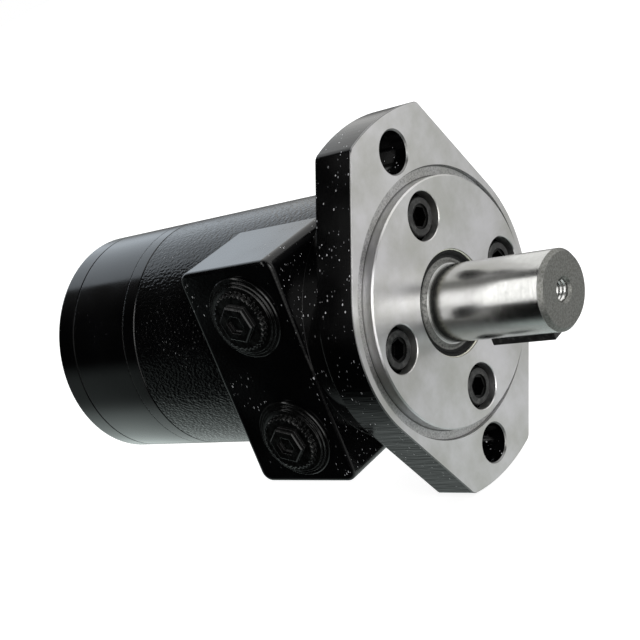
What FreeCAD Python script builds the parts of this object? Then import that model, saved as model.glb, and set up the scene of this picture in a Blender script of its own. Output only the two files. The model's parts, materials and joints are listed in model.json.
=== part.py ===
import FreeCAD, Part
import math
import os
import Sketcher

# Orbital hydraulic motor. The origin is the centre of the pilot on the mounting face.
# +X runs out along the shaft, +Z through the upper mounting ear, and the ports face -Y.
# Lengths are in millimetres and angles in degrees. A station is a place along X.

DIMENSIONS = (
    # flange
    ("flange_thickness", 14.2, "mounting face to the back of the flange"),
    ("flange_waist", 47.2, "radius of the flange sides"),
    ("flange_side_angle", 30.0, "slope of the straight sides from Z"),
    ("flange_end_radius", 65.0, "radius of the two ear ends"),
    ("flange_trim", 72.0, "height of the flange blank before its ends are turned"),
    ("flange_corner", 3.5, "corner radius of the ears"),
    ("edge_break", 0.5, "small chamfer on machined edges"),
    ("overrun", 1.0, "how far a cutting shape runs past the material"),
    ("ear_hole_offset", 53.2, "ear hole from the shaft axis"),
    ("ear_hole_radius", 6.75, "ear hole"),
    ("pilot_radius", 41.275, "pilot"),
    ("pilot_height", 2.8, "pilot above the mounting face"),
    ("relief_radius", 44.8, "outer radius of the groove round the pilot"),
    ("relief_depth", 1.1, "depth of that groove"),
    ("screw_pitch_radius", 31.0, "flange screws from the shaft axis"),
    ("screw_count", 4, "flange screws"),
    ("counterbore_radius", 7.9, "flange screw counterbore"),
    ("counterbore_depth", 9.2, "counterbore below the pilot face"),
    ("screw_hole_radius", 4.4, "clearance hole under the counterbore"),
    ("thread_radius", 4.0, "major radius of the M8 screws"),
    ("thread_gap", 0.05, "radial gap between a screw and its tapped hole"),
    ("screw_head_radius", 6.5, "M8 socket head"),
    ("screw_head_height", 8.0, "M8 socket head"),
    ("screw_hex_radius", 3.46, "hexagon socket, centre to corner"),
    ("screw_hex_depth", 4.2, "hexagon socket"),
    ("socket_rim_radius", 4.1, "round recess at the mouth of a hexagon socket"),
    ("socket_rim_depth", 0.5, "depth of that recess"),
    ("flange_screw_length", 20.0, "under the head"),
    ("head_edge", 0.6, "chamfer round a screw head"),
    # seals in the flange
    ("dust_bore_radius", 17.7, "pocket of the dust seal"),
    ("dust_bore_depth", 3.6, "pocket of the dust seal below the mounting face"),
    ("web_bore_radius", 13.2, "hole in the web between the seals"),
    ("web_back", 6.6, "back of that web below the mounting face"),
    ("seal_bore_radius", 19.0, "pocket of the shaft seal"),
    ("washer_thickness", 1.0, "seal backup washer"),
    ("washer_gap", 0.05, "radial gap round the washer"),
    ("washer_bore_gap", 0.3, "radial gap between the washer and the shaft"),
    ("dust_rim_top", 1.9, "outer rim of the dust seal above the mounting face"),
    ("dust_rim_width", 1.2, "flat top of that rim"),
    ("dust_rim_slope", 0.7, "slope from the rim down to the dish"),
    ("dust_dish", 1.1, "floor of the dish above the mounting face"),
    ("dust_lip_top", 2.1, "top of the wiping lip above the mounting face"),
    ("dust_lip_width", 0.5, "flat top of the lip"),
    ("dust_lip_slope", 1.0, "slope at each side of the lip"),
    ("dust_lip_end", 1.0, "lip touches the shaft down to here above the mounting face"),
    ("seal_back_gap", 0.3, "shaft seal short of the back of the flange"),
    ("seal_cup", 2.6, "floor of the seal's cup ahead of the back of the flange"),
    ("seal_wall", 1.8, "outer wall of the cup"),
    ("seal_lip_front", 1.2, "start of the lip's contact behind the seal's front"),
    ("seal_lip_back", 2.6, "end of the lip's contact behind the seal's front"),
    ("seal_lip_relief", 0.8, "seal clear of the shaft at its front"),
    ("seal_lip_thickness", 1.4, "lip at the cup"),
    ("lip_radius", 12.76, "seal lips on the shaft"),
    ("face_seal_inner", 23.4, "groove of the flange seal"),
    ("face_seal_outer", 25.4, "groove of the flange seal"),
    ("seal_groove_depth", 1.3, "depth of the ring grooves"),
    ("ring_round", 0.45, "corner radius of a squeezed ring"),
    # shaft and thrust bearing
    ("shaft_radius", 12.7, "output shaft"),
    ("shaft_end", 42.4, "station of the shaft end"),
    ("shaft_end_chamfer", 1.2, "chamfer at the shaft end"),
    ("end_thread_radius", 3.4, "tapped hole in the shaft end"),
    ("end_thread_depth", 20.0, "tapped hole in the shaft end"),
    ("end_thread_mouth", 0.8, "chamfer at the mouth of that hole"),
    ("key_width", 6.35, "square key"),
    ("key_length", 22.4, "square key"),
    ("key_inset", 6.6, "key end from the shaft end"),
    ("key_seat_depth", 3.55, "key seat below the shaft surface"),
    ("key_angle", 5.0, "key from -Z towards +Y"),
    ("key_gap", 0.02, "gap at each side and end of the key"),
    ("race_thickness", 2.0, "thrust race"),
    ("race_inner", 13.4, "thrust race"),
    ("race_outer", 22.0, "thrust race"),
    ("needle_radius", 1.5, "thrust needle"),
    ("needle_length", 6.0, "thrust needle"),
    ("needle_pitch_radius", 17.7, "middle of the needles"),
    ("needle_count", 20, "thrust needles"),
    ("needle_gap", 0.05, "gap between a needle and its cage or race"),
    ("cage_thickness", 2.0, "thrust cage"),
    ("cage_inner", 13.9, "thrust cage"),
    ("cage_outer", 21.6, "thrust cage"),
    ("spool_radius", 22.2, "valve spool"),
    ("spool_clearance", 0.04, "radial gap between the spool and its bore"),
    ("spool_end", 97.0, "rear end of the spool, behind the mounting face"),
    ("spool_floor", 19.2, "bottom radius of the spool grooves and slots"),
    ("band_a", 35.0, "front annular groove, behind the mounting face"),
    ("band_b", 55.0, "rear annular groove, behind the mounting face"),
    ("band_width", 6.0, "annular groove"),
    ("window_station", 45.0, "valve windows, behind the mounting face"),
    ("slot_width", 3.6, "spool slot"),
    ("slot_count", 6, "slots from each annular groove"),
    ("slot_overrun", 1.5, "slot past the middle of the windows"),
    # housing
    ("body_radius", 43.2, "housing, plate, ring and cap"),
    ("housing_back", 107.3, "rear face of the housing, behind the mounting face"),
    ("pad_height", 44.0, "port pad from the shaft axis"),
    ("pad_front", 24.0, "front of the port block, behind the mounting face"),
    ("pad_back", 66.5, "rear of the port block, behind the mounting face"),
    ("pad_half_height", 41.5, "port block from the shaft axis along Z"),
    ("block_corner", 4.0, "corner radius of the port block"),
    ("pad_edge", 1.5, "rounding of the pad outline"),
    ("port_station", 43.0, "ports, behind the mounting face"),
    ("port_offset", 23.3, "ports from the shaft axis along Z"),
    ("port_radius", 10.3, "7/8-14 port thread, drilled wall"),
    ("port_depth", 16.0, "port thread"),
    ("port_chamfer", 2.2, "chamfer at a port mouth"),
    ("gallery_radius", 4.5, "passage from a port to the spool"),
    ("gallery_offset", 19.5, "passage from the shaft axis along Z"),
    ("gallery_shift", 8.0, "passage from the port along X"),
    ("gallery_end", 10.0, "inner end of the passage from the shaft axis"),
    ("drive_chamber_radius", 20.0, "housing bore behind the spool"),
    ("spool_end_gap", 1.0, "spool bore behind the spool"),
    ("flange_thread_depth", 14.0, "tapped holes for the flange screws"),
    # gerotor, plate and cap
    ("lobe_count", 7, "lobes of the ring, and end cap screws"),
    ("tooth_count", 6, "teeth of the star"),
    ("lobe_pitch_radius", 30.0, "centres of the ring lobes"),
    ("lobe_radius", 8.0, "ring lobe"),
    ("star_offset", 3.0, "star axis from the shaft axis"),
    ("cavity_radius", 28.1, "outer radius of the ring pockets"),
    ("star_gap", 0.06, "gap between the star and a lobe"),
    ("star_end_gap", 0.03, "gap at each end of the star"),
    ("plate_thickness", 6.4, "spacer plate"),
    ("plate_bore_radius", 14.0, "spacer plate"),
    ("ring_back", 143.8, "rear face of the ring, behind the mounting face"),
    ("cap_back", 154.0, "rear face of the end cap, behind the mounting face"),
    ("cap_edge", 1.5, "rounding of the rear rim"),
    ("seam_break", 0.3, "chamfer on the rims that meet at a seam"),
    ("plate_seam_break", 0.12, "chamfer where the plate meets the ring"),
    ("bolt_pitch_radius", 35.4, "end cap screws from the shaft axis"),
    ("bolt_hole_radius", 4.15, "clearance holes for those screws"),
    ("bolt_thread_depth", 15.5, "tapped holes for those screws"),
    ("bolt_length", 55.0, "end cap screws under the head"),
    ("low_head_height", 5.0, "low socket head"),
    ("low_hex_depth", 2.8, "hexagon socket of a low head"),
    ("cap_counterbore_radius", 6.8, "counterbore in the end cap"),
    ("cap_counterbore_depth", 5.4, "counterbore in the end cap"),
    ("passage_pitch_radius", 26.0, "passages to the gerotor"),
    ("passage_radius", 2.4, "passages to the gerotor"),
    ("plate_ring_inner", 28.9, "grooves of the three o-rings"),
    ("plate_ring_outer", 30.8, "grooves of the three o-rings"),
    # drive link
    ("spline_count", 10, "teeth of both drive splines"),
    ("spline_tip", 10.0, "tip radius on the drive"),
    ("spline_root", 8.5, "root radius on the drive"),
    ("spline_tooth", 2.6, "tooth width on the drive"),
    ("spline_gap", 0.4, "gap on every side of a drive tooth"),
    ("spline_length", 9.0, "toothed length at each end of the drive"),
    ("drive_waist", 7.0, "drive between its toothed ends"),
    ("front_pivot", 59.0, "middle of the front spline, behind the mounting face"),
    ("rear_pivot", 126.0, "middle of the rear spline, behind the mounting face"),
    ("drive_overhang", 2.0, "plain end of the drive beyond its teeth"),
    ("drive_end_chamfer", 1.0, "chamfer at both ends of the drive"),
    ("drive_neck", 4.0, "taper from the toothed ends to the waist"),
    ("drive_bore_radius", 11.5, "spool bore around the drive"),
    ("spline_margin", 3.0, "internal spline beyond the drive teeth"),
    ("spool_bore_floor", 48.0, "bottom of the spool bore, behind the mounting face"),
    ("disc_thickness", 6.0, "drive spacer"),
    ("disc_radius", 8.6, "drive spacer"),
    ("disc_gap", 0.3, "drive spacer from the end cap"),
    # check valves
    ("check_pitch_radius", 25.4, "check valves from the shaft axis"),
    ("check_ball_radius", 2.5, "check ball"),
    ("check_bore_radius", 2.6, "check ball bore"),
    ("check_bore_depth", 10.0, "check ball bore from the rear face"),
    ("check_duct_radius", 1.5, "duct from a check ball to its port"),
    ("check_slot_depth", 1.5, "relief that joins a check bore to the chamber"),
    ("check_relief_end", 6.0, "inner end of that relief from the shaft axis"),
    ("seat_length", 2.5, "check seat"),
    ("seat_hole_radius", 1.2, "hole in the check seat"),
    ("seat_gap", 0.02, "gap between a seated ball and its seat"),
)

doc = FreeCAD.newDocument("hydraulic_motor")
sheet = doc.addObject("Spreadsheet::Sheet", "Dims")
pieces = {}


def fill_sheet():
    """Write the driving dimensions, one row each: name, value, meaning."""
    for row, (alias, number, meaning) in enumerate(DIMENSIONS, start=1):
        sheet.set(f"A{row}", alias)
        sheet.set(f"B{row}", str(number))
        sheet.set(f"C{row}", meaning)
        sheet.setAlias(f"B{row}", alias)
    doc.recompute()


def evaluate(text):
    """Number that an expression on the sheet stands for."""
    return float(sheet.evalExpression(text))


def dim(name):
    """Short form of the reference to one sheet cell."""
    return "Dims." + name


# Helpers for sketches and features


def origin_feature(body, role):
    """Plane or axis of a body's own origin."""
    return next(item for item in body.Origin.OriginFeatures if item.Role == role)


def new_body(label):
    """Empty body, registered as the piece of that name."""
    body = doc.addObject("PartDesign::Body", label)
    body.Label = label
    body.AllowCompound = True
    pieces[label] = body
    return body


def new_sketch(body, name, role="YZ_Plane", offset="0"):
    """Sketch on one of the body's origin planes, moved along the plane's normal."""
    sketch = body.newObject("Sketcher::SketchObject", name)
    sketch.AttachmentSupport = [(origin_feature(body, role), "")]
    sketch.MapMode = "FlatFace"
    if offset != "0":
        sketch.setExpression("AttachmentOffset.Base.z", offset)
    return sketch


def pin_point(sketch, geometry, point, place):
    """Fix a sketch point at a place given as two expressions."""
    for text, kind, axis in ((place[0], "DistanceX", -2), (place[1], "DistanceY", -1)):
        if text == "0":
            sketch.addConstraint(Sketcher.Constraint("PointOnObject", geometry, point, axis))
            continue
        rule = Sketcher.Constraint(kind, -1, 1, geometry, point, evaluate(text))
        index = sketch.addConstraint(rule)
        sketch.setExpression(f"Constraints[{index}]", text)


def draw_circle(sketch, radius, centre=("0", "0")):
    """Circle whose radius and centre are expressions."""
    middle = FreeCAD.Vector(evaluate(centre[0]), evaluate(centre[1]), 0)
    circle = Part.Circle(middle, FreeCAD.Vector(0, 0, 1), evaluate(radius))
    geometry = sketch.addGeometry(circle, False)
    index = sketch.addConstraint(Sketcher.Constraint("Radius", geometry, evaluate(radius)))
    sketch.setExpression(f"Constraints[{index}]", radius)
    pin_point(sketch, geometry, 3, centre)


def draw_outline(sketch, points):
    """Closed outline of straight lines through points given as expression pairs."""
    corners = [FreeCAD.Vector(evaluate(x), evaluate(y), 0) for x, y in points]
    first = sketch.GeometryCount
    count = len(corners)
    for number in range(count):
        line = Part.LineSegment(corners[number], corners[(number + 1) % count])
        sketch.addGeometry(line, False)
    for number in range(count):
        follower = first + (number + 1) % count
        sketch.addConstraint(Sketcher.Constraint("Coincident", first + number, 2, follower, 1))
        pin_point(sketch, first + number, 1, points[number])


def draw_box(sketch, low, high):
    """Rectangle between two corners given as expression pairs."""
    corners = [low, (high[0], low[1]), high, (low[0], high[1])]
    draw_outline(sketch, corners)


def finish_feature(body, feature, must_grow):
    """Recompute a feature and make sure it changed the body the right way."""
    before = body.Tip.Shape.Volume if body.Tip and not body.Tip.Shape.isNull() else 0.0
    body.Tip = feature
    doc.recompute()
    after = feature.Shape.Volume
    changed = after > before + 1e-6 if must_grow else 1e-6 < after < before - 1e-6
    if not changed:
        raise RuntimeError(f"{body.Label}: {feature.Name} changed nothing ({before} to {after})")
    return feature


def pad(body, sketch, length, backwards=False):
    """Pad a sketch along its normal, or against it."""
    old_tip = body.Tip
    feature = body.newObject("PartDesign::Pad", sketch.Name + "_pad")
    feature.Profile = sketch
    feature.Reversed = backwards
    feature.setExpression("Length", length)
    body.Tip = old_tip
    return finish_feature(body, feature, True)


def pocket(body, sketch, depth, along_normal=False):
    """Cut a sketch into the body, against its normal unless told otherwise."""
    old_tip = body.Tip
    feature = body.newObject("PartDesign::Pocket", sketch.Name + "_cut")
    feature.Profile = sketch
    feature.Reversed = along_normal
    feature.setExpression("Length", depth)
    body.Tip = old_tip
    return finish_feature(body, feature, False)


def turn(body, points, cut=False, name="turned"):
    """Revolve a half profile (station, radius) about the X axis, as material or as a cut."""
    old_tip = body.Tip
    sketch = new_sketch(body, f"{body.Label}_{name}", "XY_Plane")
    draw_outline(sketch, points)
    kind = "PartDesign::Groove" if cut else "PartDesign::Revolution"
    feature = body.newObject(kind, sketch.Name + ("_cut" if cut else "_solid"))
    feature.Profile = sketch
    feature.ReferenceAxis = (sketch, ["H_Axis"])
    feature.Angle = 360
    body.Tip = old_tip
    return finish_feature(body, feature, not cut)


def ring_points(front, back, inner, outer):
    """Half profile of a plain ring; the stations lie behind the mounting face."""
    return [("-" + back, inner), ("-" + front, inner), ("-" + front, outer), ("-" + back, outer)]


def repeat(body, features, count, name):
    """Repeat features evenly around the X axis."""
    grows = "pad" in features[0].Name
    old_tip = body.Tip
    pattern = body.newObject("PartDesign::PolarPattern", f"{body.Label}_{name}")
    pattern.Originals = features
    pattern.Axis = (origin_feature(body, "X_Axis"), [""])
    pattern.Angle = 360
    pattern.setExpression("Occurrences", count)
    body.Tip = old_tip
    return finish_feature(body, pattern, grows)


def dress(body, kind, value, chosen, name):
    """Fillet or chamfer the edges of the tip that a test picks out."""
    base = body.Tip
    names = [f"Edge{i}" for i, edge in enumerate(base.Shape.Edges, start=1) if chosen(edge)]
    if not names:
        raise RuntimeError(f"{body.Label}: no edge for {name}")
    feature = body.newObject("PartDesign::" + kind, f"{body.Label}_{name}")
    feature.Base = (base, names)
    feature.setExpression("Radius" if kind == "Fillet" else "Size", value)
    body.Tip = feature
    doc.recompute()
    if abs(feature.Shape.Volume - base.Shape.Volume) < 1e-9:
        raise RuntimeError(f"{body.Label}: {name} changed nothing")
    return feature


def is_circle(edge, radius, station=None):
    """True for a circular edge of that radius, and at that X station where one is given."""
    if not isinstance(edge.Curve, Part.Circle) or abs(edge.Curve.Radius - radius) > 1e-3:
        return False
    return station is None or abs(edge.BoundBox.Center.x - station) < 1e-3


def flat_at(edge, axis, place):
    """True for an edge that lies wholly at one place along an axis."""
    low = getattr(edge.BoundBox, axis + "Min")
    high = getattr(edge.BoundBox, axis + "Max")
    return abs(low - place) < 1e-3 and abs(high - place) < 1e-3


# Flange, its screws and its seals


def make_mounting_flange():
    body = new_body("mounting_flange")
    blank = new_sketch(body, "flange_blank")
    slope = dim("flange_side_angle")
    waist_corner = f"{dim('flange_waist')} / cos({slope})"
    ear_half = f"({dim('flange_waist')} - {dim('flange_trim')} * sin({slope})) / cos({slope})"
    trim = dim("flange_trim")
    corners = [(waist_corner, "0"), (ear_half, trim), (f"-({ear_half})", trim)]
    corners += [(f"-({waist_corner})", "0"), (f"-({ear_half})", "-" + trim), (ear_half, "-" + trim)]
    draw_outline(blank, corners)
    pad(body, blank, dim("flange_thickness"), backwards=True)
    ends = new_sketch(body, "flange_ends")
    draw_circle(ends, dim("flange_end_radius"))
    draw_circle(ends, dim("flange_trim") + " * 1.5")
    pocket(body, ends, dim("flange_thickness"))
    waist = evaluate(waist_corner)
    dress(body, "Fillet", dim("flange_waist"), lambda e: at_side(e, waist), "waist")
    corner_radius = evaluate(dim("flange_end_radius"))
    dress(body, "Fillet", dim("flange_corner"), lambda e: along_x_at(e, corner_radius), "corners")
    front = lambda e: flat_at(e, "X", 0.0)
    dress(body, "Chamfer", dim("edge_break") + " / 2", front, "front_edge")
    add_pilot(body)
    cut_flange_bores(body)


def at_side(edge, place):
    """True for an edge along X on the Y axis, at that distance to either side."""
    centre = edge.BoundBox.Center
    return edge.BoundBox.XLength > 1 and abs(abs(centre.y) - place) < 1e-3 and abs(centre.z) < 1e-3


def along_x_at(edge, radius):
    """True for a straight edge along X at that radius from the shaft axis."""
    centre = edge.BoundBox.Center
    return edge.BoundBox.XLength > 1 and abs(math.hypot(centre.y, centre.z) - radius) < 1e-3


def add_pilot(body):
    pilot = new_sketch(body, "pilot")
    draw_circle(pilot, dim("pilot_radius"))
    pad(body, pilot, dim("pilot_height"))
    relief = new_sketch(body, "pilot_relief")
    draw_circle(relief, dim("pilot_radius"))
    draw_circle(relief, dim("relief_radius"))
    pocket(body, relief, dim("relief_depth"))
    rim = evaluate(dim("pilot_radius"))
    top = evaluate(dim("pilot_height"))
    dress(body, "Chamfer", dim("edge_break"), lambda e: is_circle(e, rim, top), "pilot_edge")


def cut_flange_bores(body):
    clear = f"{dim('flange_thickness')} + {dim('overrun')}"
    front = f"{dim('pilot_height')} + {dim('overrun')}"
    dust = "-" + dim("dust_bore_depth")
    web = "-" + dim("web_back")
    bore = [(front, "0"), (front, dim("dust_bore_radius")), (dust, dim("dust_bore_radius"))]
    bore += [(dust, dim("web_bore_radius")), (web, dim("web_bore_radius"))]
    bore += [(web, dim("seal_bore_radius")), (f"-({clear})", dim("seal_bore_radius"))]
    bore += [(f"-({clear})", "0")]
    turn(body, bore, cut=True, name="bore")
    groove = new_sketch(body, "face_seal_groove", offset="-" + dim("flange_thickness"))
    draw_circle(groove, dim("face_seal_inner"))
    draw_circle(groove, dim("face_seal_outer"))
    pocket(body, groove, dim("seal_groove_depth"), along_normal=True)
    place = (dim("screw_pitch_radius"), "0")
    seat = new_sketch(body, "counterbore", offset=dim("pilot_height"))
    draw_circle(seat, dim("counterbore_radius"), place)
    seat_cut = pocket(body, seat, dim("counterbore_depth"))
    repeat(body, [seat_cut], dim("screw_count"), "counterbores")
    hole = new_sketch(body, "screw_hole", offset=dim("pilot_height"))
    draw_circle(hole, dim("screw_hole_radius"), place)
    hole_cut = pocket(body, hole, f"{dim('pilot_height')} + {clear}")
    repeat(body, [hole_cut], dim("screw_count"), "screw_holes")
    ear = new_sketch(body, "ear_hole")
    draw_circle(ear, dim("ear_hole_radius"), ("0", dim("ear_hole_offset")))
    ear_cut = pocket(body, ear, clear)
    repeat(body, [ear_cut], "2", "ear_holes")
    ear_radius = evaluate(dim("ear_hole_radius"))
    rims = lambda e: is_circle(e, ear_radius, 0.0)
    dress(body, "Chamfer", dim("edge_break"), rims, "ear_hole_edges")
    seat_radius = evaluate(dim("counterbore_radius"))
    top = evaluate(dim("pilot_height"))
    rims = lambda e: is_circle(e, seat_radius, top)
    dress(body, "Chamfer", dim("edge_break") + " / 2", rims, "counterbore_edges")


def make_screws(label, bearing, pitch_y, head_height, hex_depth, length, count, towards_x):
    """Ring of socket-head screws. bearing is the station under the heads."""
    body = new_body(label)
    place = (pitch_y, "0")
    head = new_sketch(body, label + "_head", offset=bearing)
    draw_circle(head, dim("screw_head_radius"), place)
    head_pad = pad(body, head, head_height, backwards=not towards_x)
    rim = evaluate(dim("screw_head_radius"))
    sign = 1 if towards_x else -1
    top = evaluate(bearing) + sign * evaluate(head_height)
    shank = new_sketch(body, label + "_shank", offset=bearing)
    draw_circle(shank, dim("thread_radius"), place)
    shank_pad = pad(body, shank, length, backwards=towards_x)
    face = f"{bearing} + {head_height}" if towards_x else f"{bearing} - {head_height}"
    socket = new_sketch(body, label + "_socket", offset=face)
    corner = dim("screw_hex_radius")
    half = f"{corner} * cos(60)"
    rise = f"{corner} * sin(60)"
    hexagon = [(f"{pitch_y} + {corner}", "0"), (f"{pitch_y} + {half}", rise)]
    hexagon += [(f"{pitch_y} - {half}", rise), (f"{pitch_y} - {corner}", "0")]
    hexagon += [(f"{pitch_y} - {half}", f"-({rise})"), (f"{pitch_y} + {half}", f"-({rise})")]
    draw_outline(socket, hexagon)
    socket_cut = pocket(body, socket, hex_depth, along_normal=not towards_x)
    rim_sketch = new_sketch(body, label + "_socket_rim", offset=face)
    draw_circle(rim_sketch, dim("socket_rim_radius"), place)
    rim_cut = pocket(body, rim_sketch, dim("socket_rim_depth"), along_normal=not towards_x)
    repeat(body, [head_pad, shank_pad, socket_cut, rim_cut], count, "all")
    edges = lambda e: is_circle(e, rim, top)
    dress(body, "Chamfer", dim("head_edge"), edges, "head_edges")


def make_flange_screws():
    bearing = f"{dim('pilot_height')} - {dim('counterbore_depth')}"
    make_screws(
        "flange_screws", bearing, dim("screw_pitch_radius"), dim("screw_head_height"),
        dim("screw_hex_depth"), dim("flange_screw_length"), dim("screw_count"), True,
    )


def make_end_cap_screws():
    bearing = f"{dim('cap_counterbore_depth')} - {dim('cap_back')}"
    make_screws(
        "end_cap_screws", bearing, "-" + dim("bolt_pitch_radius"), dim("low_head_height"),
        dim("low_hex_depth"), dim("bolt_length"), dim("lobe_count"), False,
    )


def make_dust_seal():
    body = new_body("dust_seal")
    back = "-" + dim("dust_bore_depth")
    outer = dim("dust_bore_radius")
    rim_top = dim("dust_rim_top")
    rim_inner = f"{outer} - {dim('dust_rim_width')}"
    dish = dim("dust_dish")
    lip = dim("lip_radius")
    lip_top = dim("dust_lip_top")
    lip_outer = f"{lip} + {dim('dust_lip_width')}"
    lip_end = dim("dust_lip_end")
    slope = dim("dust_lip_slope")
    profile = [(back, outer), (rim_top, outer), (rim_top, rim_inner)]
    profile += [(dish, f"{rim_inner} - {dim('dust_rim_slope')}"), (dish, f"{lip_outer} + {slope}")]
    profile += [(lip_top, lip_outer), (lip_top, lip), (lip_end, lip)]
    profile += [("-" + lip_end, f"{lip} + {slope}"), (back, f"{lip} + {slope}")]
    turn(body, profile)


def make_seal_backup_washer():
    body = new_body("seal_backup_washer")
    back = f"({dim('web_back')} + {dim('washer_thickness')})"
    inner = f"{dim('shaft_radius')} + {dim('washer_bore_gap')}"
    outer = f"{dim('seal_bore_radius')} - {dim('washer_gap')}"
    turn(body, ring_points(dim("web_back"), back, inner, outer))


def make_shaft_seal():
    body = new_body("shaft_seal")
    front = f"-({dim('web_back')} + {dim('washer_thickness')})"
    back = f"{dim('seal_back_gap')} - {dim('flange_thickness')}"
    cup = f"{dim('seal_cup')} - {dim('flange_thickness')}"
    outer = dim("seal_bore_radius")
    wall = f"{outer} - {dim('seal_wall')}"
    lip = dim("lip_radius")
    profile = [(back, outer), (front, outer), (front, f"{lip} + {dim('seal_lip_relief')}")]
    profile += [(f"{front} - {dim('seal_lip_front')}", lip)]
    profile += [(f"{front} - {dim('seal_lip_back')}", lip)]
    profile += [(cup, f"{lip} + {dim('seal_lip_thickness')}"), (cup, wall), (back, wall)]
    turn(body, profile)


def make_squeezed_ring(label, front, back, inner, outer):
    """Rubber ring squeezed flat in its groove, with rounded corners."""
    body = new_body(label)
    gap = dim("washer_gap")
    turn(body, ring_points(front, back, f"{inner} + {gap}", f"{outer} - {gap}"))
    dress(body, "Fillet", dim("ring_round"), lambda e: isinstance(e.Curve, Part.Circle), "round")


def make_flange_seal_ring():
    front = f"({dim('flange_thickness')} - {dim('seal_groove_depth')})"
    inner = dim("face_seal_inner")
    outer = dim("face_seal_outer")
    make_squeezed_ring("flange_seal_ring", front, dim("flange_thickness"), inner, outer)


def make_o_rings():
    inner = dim("plate_ring_inner")
    outer = dim("plate_ring_outer")
    depth = dim("seal_groove_depth")
    housing_back = dim("housing_back")
    plate_back = f"({housing_back} + {dim('plate_thickness')})"
    ring_back = dim("ring_back")
    make_squeezed_ring("housing_o_ring", f"({housing_back} - {depth})", housing_back, inner, outer)
    make_squeezed_ring("plate_o_ring", f"({plate_back} - {depth})", plate_back, inner, outer)
    make_squeezed_ring("cap_o_ring", ring_back, f"({ring_back} + {depth})", inner, outer)


# Thrust bearing


def bearing_station(races, needles):
    """Station behind the flange, after so many races and needle rows."""
    row = f"2 * ({dim('needle_radius')} + {dim('needle_gap')})"
    return f"({dim('flange_thickness')} + {races} * {dim('race_thickness')} + {needles} * {row})"


def make_thrust_races():
    inner = dim("race_inner")
    outer = dim("race_outer")
    front = new_body("thrust_race_front")
    turn(front, ring_points(bearing_station(0, 0), bearing_station(1, 0), inner, outer))
    rear = new_body("thrust_race_rear")
    turn(rear, ring_points(bearing_station(1, 1), bearing_station(2, 1), inner, outer))


def make_thrust_cage():
    body = new_body("thrust_cage")
    middle = bearing_station(1, 0.5)
    half = f"{dim('cage_thickness')} / 2"
    front = f"({middle} - {half})"
    back = f"({middle} + {half})"
    turn(body, ring_points(front, back, dim("cage_inner"), dim("cage_outer")))
    cell = new_sketch(body, "needle_cell", offset=f"-({front})")
    reach = f"({dim('needle_length')} / 2 + {dim('needle_gap')})"
    side = f"({dim('needle_radius')} + {dim('needle_gap')})"
    low = (f"{dim('needle_pitch_radius')} - {reach}", "-" + side)
    high = (f"{dim('needle_pitch_radius')} + {reach}", side)
    draw_box(cell, low, high)
    cell_cut = pocket(body, cell, dim("cage_thickness"))
    repeat(body, [cell_cut], dim("needle_count"), "cells")


def make_thrust_needles():
    body = new_body("thrust_needles")
    start = f"{dim('needle_pitch_radius')} - {dim('needle_length')} / 2"
    needle = new_sketch(body, "needle", "XZ_Plane", offset=f"-({start})")
    draw_circle(needle, dim("needle_radius"), (f"-{bearing_station(1, 0.5)}", "0"))
    needle_pad = pad(body, needle, dim("needle_length"), backwards=True)
    repeat(body, [needle_pad], dim("needle_count"), "row")


# Output shaft with its valve spool, and the key


def make_output_shaft():
    body = new_body("output_shaft")
    end = dim("shaft_end")
    chamfer = dim("shaft_end_chamfer")
    radius = dim("shaft_radius")
    shoulder = f"-{bearing_station(2, 1)}"
    spool = dim("spool_radius")
    tail = "-" + dim("spool_end")
    profile = [(end, "0"), (end, f"{radius} - {chamfer}"), (f"{end} - {chamfer}", radius)]
    profile += [(shoulder, radius), (shoulder, spool), (tail, spool), (tail, "0")]
    turn(body, profile)
    for band in ("band_a", "band_b"):
        half = f"{dim('band_width')} / 2"
        front = f"({dim(band)} - {half})"
        back = f"({dim(band)} + {half})"
        points = ring_points(front, back, dim("spool_floor"), f"{spool} + {dim('overrun')}")
        turn(body, points, cut=True, name=band)
    cut_spool_slots(body)
    cut_spool_bore(body)
    cut_shaft_end(body)


def cut_spool_bore(body):
    """Splined bore from the rear of the spool, for the drive."""
    spaces = new_sketch(body, "spool_spline_space", offset="-" + dim("spool_end"))
    half = f"({dim('spline_tooth')} / 2 + {dim('spline_gap')})"
    low = (f"{dim('spline_root')} - {dim('overrun')}", "-" + half)
    draw_box(spaces, low, (f"{dim('spline_tip')} + {dim('spline_gap')}", half))
    depth = f"{dim('spool_end')} - {dim('spool_bore_floor')}"
    space_cut = pocket(body, spaces, depth, along_normal=True)
    repeat(body, [space_cut], dim("spline_count"), "spline")
    tail = f"-({dim('spool_end')} + {dim('overrun')})"
    floor = f"{dim('overrun')} - {dim('spool_bore_floor')}"
    minor = f"{dim('spline_root')} + {dim('spline_gap')}"
    spline_back = f"-({dim('front_pivot')} + {dim('spline_length')} / 2 + {dim('spline_margin')})"
    bore = [(tail, "0"), (tail, dim("drive_bore_radius")), (spline_back, dim("drive_bore_radius"))]
    bore += [(spline_back, minor), (floor, minor), (floor, "0")]
    turn(body, bore, cut=True, name="bore")


def cut_spool_slots(body):
    """Slots on the spool: six from each annular groove, in turn, to the windows."""
    overrun = dim("slot_overrun")
    window = dim("window_station")
    half = f"{dim('slot_width')} / 2"
    ends = (
        ("a", f"-({dim('band_a')})", f"-({window} + {overrun})", False),
        ("b", f"-({dim('band_b')})", f"-({window} - {overrun})", True),
    )
    for name, groove_end, window_end, shifted in ends:
        reach = f"{dim('spool_radius')} + {dim('overrun')}"
        sketch = new_sketch(body, f"slot_{name}", "XZ_Plane", offset=reach)
        draw_box(sketch, (window_end, f"-({half})"), (groove_end, half))
        if shifted:
            turn_sketch_about_x(sketch, f"180 / {dim('slot_count')}", reach)
        slot_cut = pocket(body, sketch, f"{reach} - {dim('spool_floor')}")
        repeat(body, [slot_cut], dim("slot_count"), f"slots_{name}")


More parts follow.
